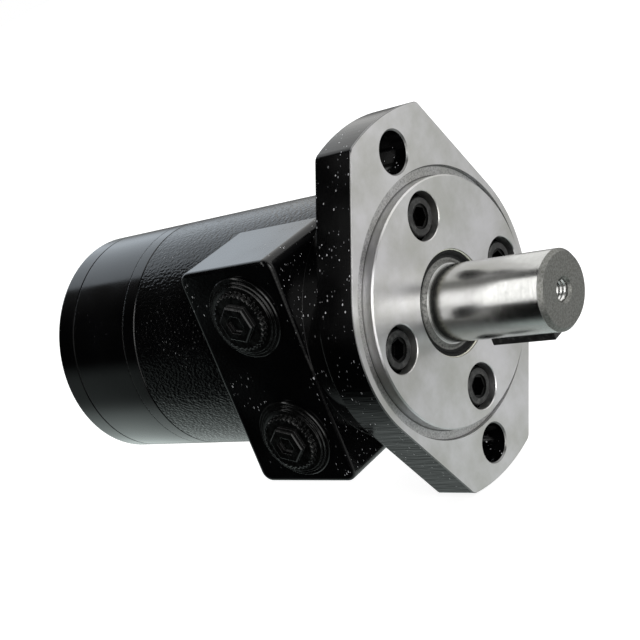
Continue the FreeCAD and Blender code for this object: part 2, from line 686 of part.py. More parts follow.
def turn_sketch_about_x(sketch, angle, reach):
    """Turn a sketch that faces -Y about the X axis, keeping its distance from it."""
    turned = FreeCAD.Rotation(FreeCAD.Vector(1, 0, 0), evaluate(angle))
    place = turned.multVec(FreeCAD.Vector(0, 0, evaluate(reach)))
    sketch.setExpression("AttachmentOffset.Base.z", None)
    sketch.AttachmentOffset = FreeCAD.Placement(place, turned)


def cut_shaft_end(body):
    end = dim("shaft_end")
    thread = new_sketch(body, "end_thread", offset=end)
    draw_circle(thread, dim("end_thread_radius"))
    pocket(body, thread, dim("end_thread_depth"))
    radius = evaluate(dim("end_thread_radius"))
    station = evaluate(end)
    mouth = lambda e: is_circle(e, radius, station)
    dress(body, "Chamfer", dim("end_thread_mouth"), mouth, "end_thread_mouth")
    start = f"{end} - {dim('key_inset')} + {dim('key_gap')}"
    seat = new_sketch(body, "key_seat", offset=start)
    aim_sketch_at_key(seat)
    half = f"({dim('key_width')} / 2 + {dim('key_gap')})"
    floor = f"{dim('shaft_radius')} - {dim('key_seat_depth')}"
    draw_box(seat, ("-" + half, floor), (half, f"{dim('shaft_radius')} + {dim('overrun')}"))
    pocket(body, seat, f"{dim('key_length')} + 2 * {dim('key_gap')}")


def aim_sketch_at_key(sketch):
    """Turn a sketch across the shaft so that its +Y points out through the key."""
    sketch.setExpression("AttachmentOffset.Rotation.Angle", f"180 + {dim('key_angle')}")


def make_shaft_key():
    body = new_body("shaft_key")
    front = f"{dim('shaft_end')} - {dim('key_inset')}"
    sketch = new_sketch(body, "key_section", offset=front)
    aim_sketch_at_key(sketch)
    half = f"{dim('key_width')} / 2"
    floor = f"{dim('shaft_radius')} - {dim('key_seat_depth')}"
    draw_box(sketch, (f"-({half})", floor), (half, f"{floor} + {dim('key_width')}"))
    pad(body, sketch, dim("key_length"), backwards=True)
    dress(body, "Chamfer", dim("edge_break") + " / 2", lambda e: True, "key_edges")


# Housing


def make_housing():
    body = new_body("housing")
    front = dim("flange_thickness")
    back = dim("housing_back")
    turn(body, [(f"-{front}", "0"), (f"-{front}", dim("body_radius")),
                (f"-{back}", dim("body_radius")), (f"-{back}", "0")])
    break_rim(body, back, "seam_break")
    block = new_sketch(body, "port_block", "XZ_Plane")
    low = ("-" + dim("pad_back"), "-" + dim("pad_half_height"))
    high = ("-" + dim("pad_front"), dim("pad_half_height"))
    draw_box(block, low, high)
    pad(body, block, dim("pad_height"))
    round_port_block(body)
    bore_housing(body)
    cut_ports(body)
    cut_passages(body)
    cut_check_valves(body)


def round_port_block(body):
    pad_y = -evaluate(dim("pad_height"))
    side = lambda e: e.BoundBox.YLength > 5 and abs(e.BoundBox.YMin - pad_y) < 1e-3
    dress(body, "Fillet", dim("block_corner"), side, "block_corners")
    dress(body, "Fillet", dim("pad_edge"), lambda e: flat_at(e, "Y", pad_y), "pad_edge")


def bore_housing(body):
    front = f"-({dim('flange_thickness')} - {dim('overrun')})"
    back = f"-({dim('housing_back')} + {dim('overrun')})"
    step = f"-({dim('spool_end')} + {dim('spool_end_gap')})"
    bore = f"{dim('spool_radius')} + {dim('spool_clearance')}"
    chamber = dim("drive_chamber_radius")
    profile = [(front, "0"), (front, bore), (step, bore), (step, chamber), (back, chamber), (back, "0")]
    turn(body, profile, cut=True, name="bore")
    tapped = f"{dim('thread_radius')} + {dim('thread_gap')}"
    flange_hole = new_sketch(body, "flange_thread", offset="-" + dim("flange_thickness"))
    draw_circle(flange_hole, tapped, (dim("screw_pitch_radius"), "0"))
    flange_cut = pocket(body, flange_hole, dim("flange_thread_depth"))
    repeat(body, [flange_cut], dim("screw_count"), "flange_threads")
    cap_hole = new_sketch(body, "cap_thread", offset="-" + dim("housing_back"))
    draw_circle(cap_hole, tapped, ("-" + dim("bolt_pitch_radius"), "0"))
    cap_cut = pocket(body, cap_hole, dim("bolt_thread_depth"), along_normal=True)
    repeat(body, [cap_cut], dim("lobe_count"), "cap_threads")
    cut_ring_groove(body, "-" + dim("housing_back"), True)


def cut_ring_groove(body, station, towards_x):
    """O-ring groove in a flat end face."""
    groove = new_sketch(body, body.Label + "_ring_groove", offset=station)
    draw_circle(groove, dim("plate_ring_inner"))
    draw_circle(groove, dim("plate_ring_outer"))
    pocket(body, groove, dim("seal_groove_depth"), along_normal=towards_x)


def cut_ports(body):
    """Two ports in the pad, each with a passage to its annular groove."""
    for name, sign in (("a", ""), ("b", "-")):
        port = new_sketch(body, "port_" + name, "XZ_Plane", offset=dim("pad_height"))
        draw_circle(port, dim("port_radius"), ("-" + dim("port_station"), sign + dim("port_offset")))
        pocket(body, port, dim("port_depth"))
        shift = "+" if name == "a" else "-"
        start = f"{dim('pad_height')} - {dim('port_depth')} + {dim('overrun')}"
        gallery = new_sketch(body, "gallery_" + name, "XZ_Plane", offset=start)
        station = f"-({dim('port_station')}) {shift} {dim('gallery_shift')}"
        draw_circle(gallery, dim("gallery_radius"), (station, sign + dim("gallery_offset")))
        pocket(body, gallery, f"{start} - {dim('gallery_end')}")
    pad_y = -evaluate(dim("pad_height"))
    radius = evaluate(dim("port_radius"))
    mouths = lambda e: is_circle(e, radius) and flat_at(e, "Y", pad_y)
    dress(body, "Chamfer", dim("port_chamfer"), mouths, "port_mouths")


def cut_passages(body):
    """Seven axial passages from the rear face to the windows round the spool."""
    place = (dim("passage_pitch_radius"), "0")
    axial = new_sketch(body, "axial_passage", offset="-" + dim("housing_back"))
    draw_circle(axial, dim("passage_radius"), place)
    depth = f"{dim('housing_back')} - {dim('window_station')}"
    axial_cut = pocket(body, axial, depth, along_normal=True)
    window = new_sketch(body, "window", "XZ_Plane")
    draw_circle(window, dim("passage_radius"), ("-" + dim("window_station"), "0"))
    window_cut = pocket(body, window, dim("passage_pitch_radius"))
    repeat(body, [axial_cut], dim("lobe_count"), "axial_passages")
    repeat(body, [window_cut], dim("lobe_count"), "windows")


def check_place(sign):
    """Place of a check valve in the YZ plane, as two expressions."""
    radius = dim("check_pitch_radius")
    angle = f"360 / {dim('lobe_count')}"
    return (f"-{radius} * cos({angle})", f"{sign}{radius} * sin({angle})")


def cut_check_valves(body):
    """Bores for the two check balls, open to the chamber behind the spool."""
    back = "-" + dim("housing_back")
    for name, sign, shift in (("a", "", "-"), ("b", "-", "+")):
        place = check_place(sign)
        bore = new_sketch(body, "check_bore_" + name, offset=back)
        draw_circle(bore, dim("check_bore_radius"), place)
        pocket(body, bore, dim("check_bore_depth"), along_normal=True)
        duct = new_sketch(body, "check_duct_" + name, offset=back)
        draw_circle(duct, dim("check_duct_radius"), place)
        gallery = f"{dim('port_station')} {shift} {dim('gallery_shift')}"
        pocket(body, duct, f"{dim('housing_back')} - ({gallery})", along_normal=True)
        relief = new_sketch(body, "check_relief_" + name, offset=back)
        width = dim("check_duct_radius")
        low = (place[0], f"({place[1]}) - {width}")
        high = ("-" + dim("check_relief_end"), f"({place[1]}) + {width}")
        draw_box(relief, low, high)
        pocket(body, relief, dim("check_slot_depth"), along_normal=True)


def make_check_seats():
    body = new_body("check_seats")
    start = f"{dim('check_slot_depth')} - {dim('housing_back')}"
    for name, sign in (("a", ""), ("b", "-")):
        seat = new_sketch(body, "seat_" + name, offset=start)
        draw_circle(seat, dim("check_bore_radius"), check_place(sign))
        draw_circle(seat, dim("seat_hole_radius"), check_place(sign))
        pad(body, seat, dim("seat_length"))


def make_check_balls():
    radius = dim("check_ball_radius")
    seat_face = f"{dim('check_slot_depth')} + {dim('seat_length')} - {dim('housing_back')}"
    stand = f"sqrt({radius} * {radius} - {dim('seat_hole_radius')} * {dim('seat_hole_radius')})"
    for name, sign in (("a", ""), ("b", "-")):
        ball = doc.addObject("Part::Sphere", "check_ball_" + name)
        ball.Label = "check_ball_" + name
        ball.setExpression("Radius", radius)
        place = check_place(sign)
        ball.setExpression("Placement.Base.x", f"{seat_face} + {stand} + {dim('seat_gap')}")
        ball.setExpression("Placement.Base.y", place[0])
        ball.setExpression("Placement.Base.z", place[1])
        pieces[ball.Label] = ball


# Plate, gerotor set and end cap


def break_rim(body, station, size):
    """Small chamfer on the outer rim at a station behind the mounting face."""
    rim = evaluate(dim("body_radius"))
    place = -evaluate(station)
    name = "rim_" + station.strip("()").replace("Dims.", "").replace(" + ", "_")
    dress(body, "Chamfer", dim(size), lambda e: is_circle(e, rim, place), name)


def make_spacer_plate():
    body = new_body("spacer_plate")
    front = dim("housing_back")
    back = f"({front} + {dim('plate_thickness')})"
    turn(body, ring_points(front, back, dim("plate_bore_radius"), dim("body_radius")))
    break_rim(body, front, "seam_break")
    break_rim(body, back, "plate_seam_break")
    hole = new_sketch(body, "plate_bolt_hole", offset="-" + front)
    draw_circle(hole, dim("bolt_hole_radius"), ("-" + dim("bolt_pitch_radius"), "0"))
    hole_cut = pocket(body, hole, dim("plate_thickness"))
    repeat(body, [hole_cut], dim("lobe_count"), "bolt_holes")
    passage = new_sketch(body, "plate_passage", offset="-" + front)
    draw_circle(passage, dim("passage_radius"), (dim("passage_pitch_radius"), "0"))
    passage_cut = pocket(body, passage, dim("plate_thickness"))
    repeat(body, [passage_cut], dim("lobe_count"), "passages")
    cut_ring_groove(body, f"-{back}", True)


def make_gerotor_ring():
    body = new_body("gerotor_ring")
    front = f"({dim('housing_back')} + {dim('plate_thickness')})"
    turn(body, ring_points(front, dim("ring_back"), dim("cavity_radius"), dim("body_radius")))
    break_rim(body, front, "plate_seam_break")
    break_rim(body, dim("ring_back"), "seam_break")
    lobe = new_sketch(body, "ring_lobe", offset="-" + front)
    draw_circle(lobe, dim("lobe_radius"), ("-" + dim("lobe_pitch_radius"), "0"))
    length = f"{dim('ring_back')} - {front}"
    lobe_pad = pad(body, lobe, length, backwards=True)
    repeat(body, [lobe_pad], dim("lobe_count"), "lobes")
    hole = new_sketch(body, "ring_bolt_hole", offset="-" + front)
    draw_circle(hole, dim("bolt_hole_radius"), ("-" + dim("bolt_pitch_radius"), "0"))
    hole_cut = pocket(body, hole, length)
    repeat(body, [hole_cut], dim("lobe_count"), "bolt_holes")


def star_outline(steps_per_tooth=24):
    """Closed curve of the star, a lobe's width inside the path of the lobe centres."""
    teeth = int(evaluate(dim("tooth_count")))
    lobes = teeth + 1
    pitch = evaluate(dim("lobe_pitch_radius"))
    offset = evaluate(dim("star_offset"))
    inset = evaluate(f"{dim('lobe_radius')} + {dim('star_gap')}")
    points = []
    for step in range(teeth * steps_per_tooth):
        angle = 2 * math.pi * step / (teeth * steps_per_tooth)
        path_y = pitch * math.cos(angle) + offset * math.cos(lobes * angle)
        path_z = pitch * math.sin(angle) + offset * math.sin(lobes * angle)
        speed_y = -pitch * math.sin(angle) - lobes * offset * math.sin(lobes * angle)
        speed_z = pitch * math.cos(angle) + lobes * offset * math.cos(lobes * angle)
        speed = math.hypot(speed_y, speed_z)
        normal_y = speed_z / speed
        normal_z = -speed_y / speed
        points.append(FreeCAD.Vector(0, path_y - inset * normal_y, path_z - inset * normal_z))
    curve = Part.BSplineCurve()
    curve.interpolate(Points=points, PeriodicFlag=True)
    return Part.Wire(curve.toShape())


def make_gerotor_star():
    """Star, blank from its curve, bored and splined for the drive."""
    front = evaluate(f"-({dim('housing_back')} + {dim('plate_thickness')} + {dim('star_end_gap')})")
    back = evaluate(f"{dim('star_end_gap')} - {dim('ring_back')}")
    blank = Part.Face(star_outline()).extrude(FreeCAD.Vector(back - front, 0, 0))
    minor = evaluate(f"{dim('spline_root')} + {dim('spline_gap')}")
    reach = evaluate(f"{dim('spline_tip')} + {dim('spline_gap')}")
    half = evaluate(f"{dim('spline_tooth')} / 2 + {dim('spline_gap')}")
    count = int(evaluate(dim("spline_count")))
    centre = FreeCAD.Vector(0, 0, 0)
    axis = FreeCAD.Vector(1, 0, 0)
    length = front - back
    half_tooth = 180 / evaluate(dim("tooth_count"))
    cutters = [Part.makeCylinder(minor, length, centre, -axis)]
    for number in range(count):
        space = Part.makeBox(length, reach, 2 * half, FreeCAD.Vector(-length, 0, -half))
        space.rotate(centre, axis, number * 360 / count - half_tooth)
        cutters.append(space)
    star = doc.addObject("Part::Feature", "gerotor_star")
    star.Label = "gerotor_star"
    star.Shape = blank.cut(cutters)
    place = FreeCAD.Vector(front, -evaluate(dim("star_offset")), 0)
    star.Placement = FreeCAD.Placement(place, FreeCAD.Rotation(axis, half_tooth))
    pieces[star.Label] = star


def make_end_cap():
    body = new_body("end_cap")
    front = dim("ring_back")
    back = dim("cap_back")
    profile = [(f"-{back}", "0"), (f"-{front}", "0")]
    profile += [(f"-{front}", dim("body_radius")), (f"-{back}", dim("body_radius"))]
    turn(body, profile)
    rim = evaluate(dim("body_radius"))
    rear = -evaluate(back)
    dress(body, "Fillet", dim("cap_edge"), lambda e: is_circle(e, rim, rear), "rear_rim")
    break_rim(body, front, "seam_break")
    place = ("-" + dim("bolt_pitch_radius"), "0")
    hole = new_sketch(body, "cap_bolt_hole", offset="-" + front)
    draw_circle(hole, dim("bolt_hole_radius"), place)
    hole_cut = pocket(body, hole, f"{back} - {front}")
    repeat(body, [hole_cut], dim("lobe_count"), "bolt_holes")
    seat = new_sketch(body, "cap_counterbore", offset="-" + back)
    draw_circle(seat, dim("cap_counterbore_radius"), place)
    seat_cut = pocket(body, seat, dim("cap_counterbore_depth"), along_normal=True)
    repeat(body, [seat_cut], dim("lobe_count"), "counterbores")
    cut_ring_groove(body, "-" + front, False)


# Drive link and its spacer


def drive_tilt():
    """Angle in degrees between the drive link and the shaft axis."""
    run = evaluate(f"{dim('rear_pivot')} - {dim('front_pivot')}")
    return math.degrees(math.atan2(evaluate(dim("star_offset")), run))


def make_cardan_drive():
    """Drive link with crowned teeth at both ends, drawn from its front pivot backwards."""
    body = new_body("cardan_drive")
    half = f"{dim('spline_length')} / 2"
    run = f"({dim('rear_pivot')} - {dim('front_pivot')})"
    over = f"({half} + {dim('drive_overhang')})"
    root = dim("spline_root")
    waist = dim("drive_waist")
    neck = f"({half} + {dim('drive_neck')})"
    chamfer = dim("drive_end_chamfer")
    end_radius = f"{waist} - {chamfer}"
    profile = [(over, "0"), (over, end_radius), (f"{over} - {chamfer}", waist), (half, waist)]
    profile += [(half, root), (f"-({half})", root), (f"-{neck}", waist)]
    profile += [(f"{neck} - {run}", waist), (f"{half} - {run}", root), (f"-({half}) - {run}", root)]
    profile += [(f"-({half}) - {run}", waist), (f"{chamfer} - {over} - {run}", waist)]
    profile += [(f"-{over} - {run}", end_radius), (f"-{over} - {run}", "0")]
    turn(body, profile)
    side = f"{dim('spline_tooth')} / 2"
    for name, station in (("front", half), ("rear", f"{half} - {run}")):
        tooth = new_sketch(body, f"drive_tooth_{name}", offset=station)
        draw_box(tooth, (f"{root} - {dim('overrun')}", f"-({side})"), (dim("spline_tip"), side))
        tooth_pad = pad(body, tooth, dim("spline_length"), backwards=True)
        repeat(body, [tooth_pad], dim("spline_count"), f"teeth_{name}")
    pivot = FreeCAD.Vector(-evaluate(dim("front_pivot")), 0, 0)
    body.Placement = FreeCAD.Placement(pivot, FreeCAD.Rotation(FreeCAD.Vector(0, 0, 1), drive_tilt()))


def make_drive_spacer():
    disc = doc.addObject("Part::Cylinder", "drive_spacer")
    disc.Label = "drive_spacer"
    disc.setExpression("Radius", dim("disc_radius"))
    disc.setExpression("Height", dim("disc_thickness"))
    disc.Placement = FreeCAD.Placement(
        FreeCAD.Vector(0, 0, 0), FreeCAD.Rotation(FreeCAD.Vector(0, 1, 0), 90)
    )
    disc.setExpression("Placement.Base.x", f"{dim('disc_gap')} - {dim('ring_back')}")
    disc.setExpression("Placement.Base.y", f"-{dim('star_offset')}")
    pieces[disc.Label] = disc


# Checks and export


def check_document():
    """Stop if any object failed, or if a piece is missing, empty or not a closed solid."""
    for item in doc.Objects:
        if "Invalid" in item.State or "Error" in item.State:
            raise RuntimeError(f"{item.Name} failed: {item.State}")
    for label, item in pieces.items():
        shape = item.Shape
        if shape.isNull() or not shape.isValid() or not shape.Solids:
            raise RuntimeError(f"{label} has no valid shape")


def export_pieces():
    os.makedirs("parts", exist_ok=True)
    for label, item in pieces.items():
        item.Shape.exportStep(os.path.join("parts", label + ".step"))
        print(f"{label}: {len(item.Shape.Solids)} solid(s), {item.Shape.Volume:.0f} mm3")


fill_sheet()
make_mounting_flange()
make_flange_screws()
make_dust_seal()
make_seal_backup_washer()
make_shaft_seal()
make_flange_seal_ring()
make_thrust_races()
make_thrust_cage()
make_thrust_needles()
make_output_shaft()
make_shaft_key()
make_housing()
make_check_seats()
make_check_balls()
make_spacer_plate()
make_gerotor_ring()
make_gerotor_star()
make_end_cap()
make_end_cap_screws()
make_cardan_drive()
make_drive_spacer()
make_o_rings()
doc.recompute()
check_document()
export_pieces()
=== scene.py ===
import json
import math

import bmesh
import bpy
from mathutils import Matrix, Vector


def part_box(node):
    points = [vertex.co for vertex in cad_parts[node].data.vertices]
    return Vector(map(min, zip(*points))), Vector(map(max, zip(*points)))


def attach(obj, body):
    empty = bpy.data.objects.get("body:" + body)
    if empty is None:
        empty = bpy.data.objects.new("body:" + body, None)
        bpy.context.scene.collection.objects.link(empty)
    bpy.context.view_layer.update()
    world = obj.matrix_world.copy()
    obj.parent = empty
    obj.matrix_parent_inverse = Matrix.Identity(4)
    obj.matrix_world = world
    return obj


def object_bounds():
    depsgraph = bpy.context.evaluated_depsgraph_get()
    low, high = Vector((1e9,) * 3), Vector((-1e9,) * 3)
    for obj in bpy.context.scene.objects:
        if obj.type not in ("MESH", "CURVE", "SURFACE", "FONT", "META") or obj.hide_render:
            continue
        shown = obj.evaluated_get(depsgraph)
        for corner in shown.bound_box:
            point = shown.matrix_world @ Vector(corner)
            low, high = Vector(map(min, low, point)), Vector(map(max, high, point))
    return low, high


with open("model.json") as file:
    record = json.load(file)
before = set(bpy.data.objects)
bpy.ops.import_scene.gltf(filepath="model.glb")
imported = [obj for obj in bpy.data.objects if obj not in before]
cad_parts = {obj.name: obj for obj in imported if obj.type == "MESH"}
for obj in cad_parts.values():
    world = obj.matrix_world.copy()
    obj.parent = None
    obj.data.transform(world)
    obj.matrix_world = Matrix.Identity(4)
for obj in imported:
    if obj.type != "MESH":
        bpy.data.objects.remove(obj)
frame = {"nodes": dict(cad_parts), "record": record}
cad_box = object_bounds()
nodes = frame["nodes"]
mounts = {mount["name"]: mount for mount in frame["record"]["mounts"]}
MM = 0.001

# Stations along the shaft, in millimetres from the mounting face
REAR_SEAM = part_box("housing")[0][0] / MM
RING_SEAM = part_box("spacer_plate")[0][0] / MM
CAP_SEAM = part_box("end_cap")[1][0] / MM
FRONT_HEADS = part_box("flange_screws")[1][0] / MM
REAR_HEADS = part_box("end_cap_screws")[0][0] / MM
BLOCK_BACK = -66.0
SPECKLED_FROM = -20.0
GROOVE_FLOOR = -1.16
FACE_BREAK = -0.52
SHAFT_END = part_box("output_shaft")[1][0] / MM

# Radii from the shaft axis, in millimetres
GROOVE_INSIDE = 41.3
# Radii of the thin dark lines painted as shade in the groove's two corners
GROOVE_SHADE_LINES = (44.55, 41.45)
GROOVE_OUTSIDE = 44.75
FACE_FROM = 46.0
SEAL_BORE = 20.0
SEAL_LIP = 15.1
SEAL_RIM = 13.25

# Port block, across the shaft, in millimetres
PAD_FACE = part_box("housing")[0][1] / MM
BLOCK_SIDE = -12.5


# Shader helpers


class Graph:
    """Short way to add shader nodes to one tree and wire them up."""

    def __init__(self, tree):
        self.tree = tree
        tree.nodes.clear()

    def feed(self, socket, value):
        if isinstance(value, bpy.types.Node):
            value = value.outputs[0]
        if isinstance(value, bpy.types.NodeSocket):
            self.tree.links.new(value, socket)
        else:
            socket.default_value = value

    def add(self, kind, *values, settings=None, **named):
        item = self.tree.nodes.new("ShaderNode" + kind)
        for key, value in (settings or {}).items():
            setattr(item, key, value)
        for index, value in enumerate(values):
            self.feed(item.inputs[index], value)
        for key, value in named.items():
            self.feed(item.inputs[key.replace("_", " ")], value)
        return item

    def math(self, operation, a, b=0.0):
        return self.add("Math", a, b, settings={"operation": operation})

    def product(self, first, *others):
        for other in others:
            first = self.math("MULTIPLY", first, other)
        return first

    def largest(self, first, *others):
        for other in others:
            first = self.math("MAXIMUM", first, other)
        return first

    def step(self, value, low, high, start=0.0, end=1.0):
        """Smooth step of a value between two limits."""
        return self.add(
            "MapRange", value, low, high, start, end, settings={"interpolation_type": "SMOOTHSTEP"}
        )

    def near(self, value, middle, outside, inside):
        """One within the inside distance of the middle, falling to zero at the outside distance."""
        return self.step(self.math("ABSOLUTE", self.math("SUBTRACT", value, middle)), outside, inside)

    def colour_mix(self, factor, a, b):
        item = self.tree.nodes.new("ShaderNodeMix")
        item.data_type = "RGBA"
        self.feed(item.inputs[0], factor)
        self.feed(item.inputs[6], a)
        self.feed(item.inputs[7], b)
        return item.outputs[2]

    def place(self):
        """Place of the shaded point in the motor's frame, in millimetres."""
        coordinates = self.add("TexCoord").outputs["Object"]
        return self.add("VectorMath", coordinates, Scale=1000.0, settings={"operation": "SCALE"})

    def axes(self, vector):
        """The three parts of a vector, by order or by the names X, Y and Z."""
        return self.add("SeparateXYZ", vector).outputs

    def radius(self, y, z):
        """Distance from the shaft axis."""
        squares = self.math("ADD", self.math("POWER", y, 2.0), self.math("POWER", z, 2.0))
        return self.math("SQRT", squares)

    def facing_front(self, kind):
        """How far the normal of the given kind points along the shaft."""
        return self.axes(self.add("NewGeometry").outputs[kind])["X"]

    def stretched(self, place, factors):
        return self.add("VectorMath", place, factors, settings={"operation": "MULTIPLY"})

    def noise(self, place, scale, detail=2.0, roughness=0.5):
        item = self.add("TexNoise", Scale=scale, Detail=detail, Roughness=roughness, Vector=place)
        return item.outputs[0]

    def bump(self, height, depth_mm, normal=None):
        item = self.add("Bump", Height=height, Strength=1.0, Distance=depth_mm * MM)
        if normal is not None:
            self.feed(item.inputs["Normal"], normal)
        return item

    def rounded_edges(self, radius_mm):
        return self.add("Bevel", radius_mm * MM, settings={"samples": 4})


def grey(value, tint=(1.0, 1.0, 1.0)):
    return (value * tint[0], value * tint[1], value * tint[2], 1.0)


# Materials


def cast_dimples(graph, place):
    return graph.noise(graph.stretched(place, (0.75, 1.0, 1.25)), 0.95, 1.0, 0.5)


def glint_specks(graph, place, patchy_from):
    """Small pale blobs in patches, painted highlights standing in for glints off the cast skin: where they
    are, and how pale each one is.
    """
    areas = graph.step(
        graph.noise(place, 0.05, 2.0), patchy_from, graph.math("ADD", patchy_from, 0.12)
    )
    cells = graph.add(
        "TexVoronoi", Scale=0.75, Randomness=1.0, Vector=graph.stretched(place, (1.35, 1.35, 0.7))
    )
    red, green = graph.add("SeparateColor", cells.outputs["Color"]).outputs[:2]
    size = graph.math("SUBTRACT", graph.math("MULTIPLY", red, 0.54), 0.23)
    dots = graph.step(graph.math("SUBTRACT", size, cells.outputs["Distance"]), 0.0, 0.08)
    return graph.product(dots, areas), graph.step(green, 0.1, 1.0, 0.12, 1.0)


def seam_gap(graph, station):
    """How far each seam dulls the paint: the rear seam except on its front rim, the ring seam only there."""
    facing = graph.facing_front("True Normal")
    rear = graph.near(station, REAR_SEAM, 0.55, 0.33)
    ring = graph.near(station, RING_SEAM, 0.24, 0.144)
    cap = graph.near(station, CAP_SEAM, 0.5, 0.3)
    return graph.largest(
        graph.product(rear, graph.step(facing, 0.5, 0.3)),
        graph.product(ring, graph.step(facing, 0.3, 0.5, 0.0, 0.8)),
        graph.product(cap, graph.step(facing, 0.3, 0.5, 1.0, 0.85)),
    )


def enamel(graph, place, relief, speckle, gloss=0.34):
    """Glossy black enamel over a skin of the given relief in millimetres, with a share of pale specks that
    are painted glints and also raise the relief a little.
    """
    station = graph.axes(place)["X"]
    patches = graph.noise(place, 0.05, 3.0)
    patchy_from = graph.step(station, SPECKLED_FROM - 10.0, SPECKLED_FROM, 0.53, 0.27)
    dots, paleness = glint_specks(graph, place, patchy_from)
    dots = graph.product(dots, speckle)
    height = graph.math("ADD", relief, graph.math("MULTIPLY", dots, 0.12))
    gloss = graph.product(graph.math("SUBTRACT", 1.0, seam_gap(graph, station)), gloss)
    black = graph.colour_mix(patches, grey(0.0006), grey(0.0018, (1.0, 1.0, 1.2)))
    # The pale speck colour is a painted highlight, standing in for glints off the rough cast skin.
    return graph.add(
        "BsdfPrincipled",
        Base_Color=graph.colour_mix(graph.product(dots, paleness), black, grey(0.7, (1.0, 1.0, 1.04))),
        Roughness=graph.step(patches, 0.3, 0.7, 0.10, 0.16),
        Specular_IOR_Level=gloss,
        Normal=graph.bump(height, 1.0, graph.rounded_edges(0.5)),
    )


def metal(graph, colour, roughness, normal, anisotropy=0.0):
    return graph.add(
        "BsdfPrincipled",
        Base_Color=colour,
        Metallic=1.0,
        Roughness=roughness,
        Anisotropic=anisotropy,
        Normal=normal,
    )


def machined(graph, place, radius):
    """Face-milled iron: satin, with fine marks, faint stains, dirt on the groove floor, painted shade lines
    in the groove's corners, and painted shade on the edge-break chamfers outside the face.
    """
    stains = graph.step(graph.noise(place, 0.05, 5.0, 0.6), 0.25, 0.75)
    marks = graph.noise(graph.stretched(place, (1.0, 0.15, 3.2)), 1.0, 3.0, 0.6)
    pits = graph.noise(place, 3.0, 2.0)
    grime = graph.noise(place, 1.6, 3.0, 0.6)
    clean = graph.colour_mix(stains, grey(0.46, (1.0, 1.0, 0.95)), grey(0.66, (0.99, 0.98, 1.01)))
    facing = graph.facing_front("Normal")
    floor = graph.step(facing, 0.5, 0.8)
    # Painted shade: thin dark lines on the groove floor at its two corners.
    shade_lines = graph.largest(*[graph.near(radius, middle, 0.30, 0.15) for middle in GROOVE_SHADE_LINES])
    groove = graph.product(
        graph.step(radius, GROOVE_INSIDE - 0.1, GROOVE_INSIDE + 0.1),
        graph.step(radius, GROOVE_OUTSIDE + 0.15, GROOVE_OUTSIDE - 0.15),
        floor,
    )
    # Painted shade: darker colour on the edge-break chamfers outside the face, to tone down their highlight.
    edge_break_shade = graph.product(graph.step(radius, FACE_FROM - 0.2, FACE_FROM), graph.step(facing, 0.95, 0.8))
    # Darkening mix: dirt on the groove floor, with the painted shade of the corner lines and of the
    # chamfers.
    dirt_and_shade = graph.largest(
        graph.product(groove, graph.step(grime, 0.3, 0.75, 0.20, 0.65)),
        graph.product(shade_lines, floor, 0.9),
        graph.product(edge_break_shade, 0.75),
    )
    height = graph.math("ADD", marks, graph.math("MULTIPLY", pits, 0.5))
    height = graph.math("ADD", height, graph.product(grime, groove, 3.0))
    shader = metal(
        graph,
        graph.colour_mix(dirt_and_shade, clean, grey(0.07)),
        graph.step(marks, 0.3, 0.7, 0.30, 0.40),
        graph.bump(height, 0.012),
        anisotropy=0.65,
    )
    turned = graph.add("Tangent", settings={"direction_type": "RADIAL", "axis": "X"})
    graph.feed(shader.inputs["Tangent"], turned)
    graph.feed(shader.inputs["Anisotropic Rotation"], 0.25)
    return shader


def cast_black(graph):
    """The housing's paint: dimpled on the barrel, smoother on the port block and the neck."""
    place = graph.place()
    x, y = graph.axes(place)[:2]
    barrel = graph.largest(
        graph.step(x, BLOCK_BACK, BLOCK_BACK - 1.0), graph.step(y, BLOCK_SIDE, BLOCK_SIDE + 1.0)
    )
    relief = graph.product(cast_dimples(graph, place), graph.step(barrel, 0.0, 1.0, 0.022, 0.17))
    speckle = graph.step(barrel, 0.0, 1.0, 1.0, 0.45)
    return enamel(graph, place, relief, speckle, graph.step(barrel, 0.0, 1.0, 0.34, 0.24))


def smooth_black(graph):
    place = graph.place()
    return enamel(graph, place, graph.product(cast_dimples(graph, place), 0.006), 0.04)


def flange_finish(graph):
    """Machined on the front and in the seal bores, enamelled over a sawn skin elsewhere."""
    place = graph.place()
    x, y, z = graph.axes(place)
    radius = graph.radius(y, z)
    face = graph.step(x, FACE_BREAK - 0.04, FACE_BREAK)
    groove = graph.product(
        graph.step(x, GROOVE_FLOOR - 0.06, GROOVE_FLOOR), graph.step(radius, FACE_FROM, FACE_FROM - 0.2)
    )
    bores = graph.step(radius, SEAL_BORE, SEAL_BORE - 0.4)
    sawn = graph.noise(graph.stretched(place, (0.10, 1.0, 1.0)), 0.75, 2.0, 0.6)
    relief = graph.product(sawn, graph.step(z, 0.0, -25.0, 0.03, 0.26))
    bare = graph.largest(face, groove, bores)
    return graph.add(
        "MixShader", bare, enamel(graph, place, relief, 1.0), machined(graph, place, radius)
    )


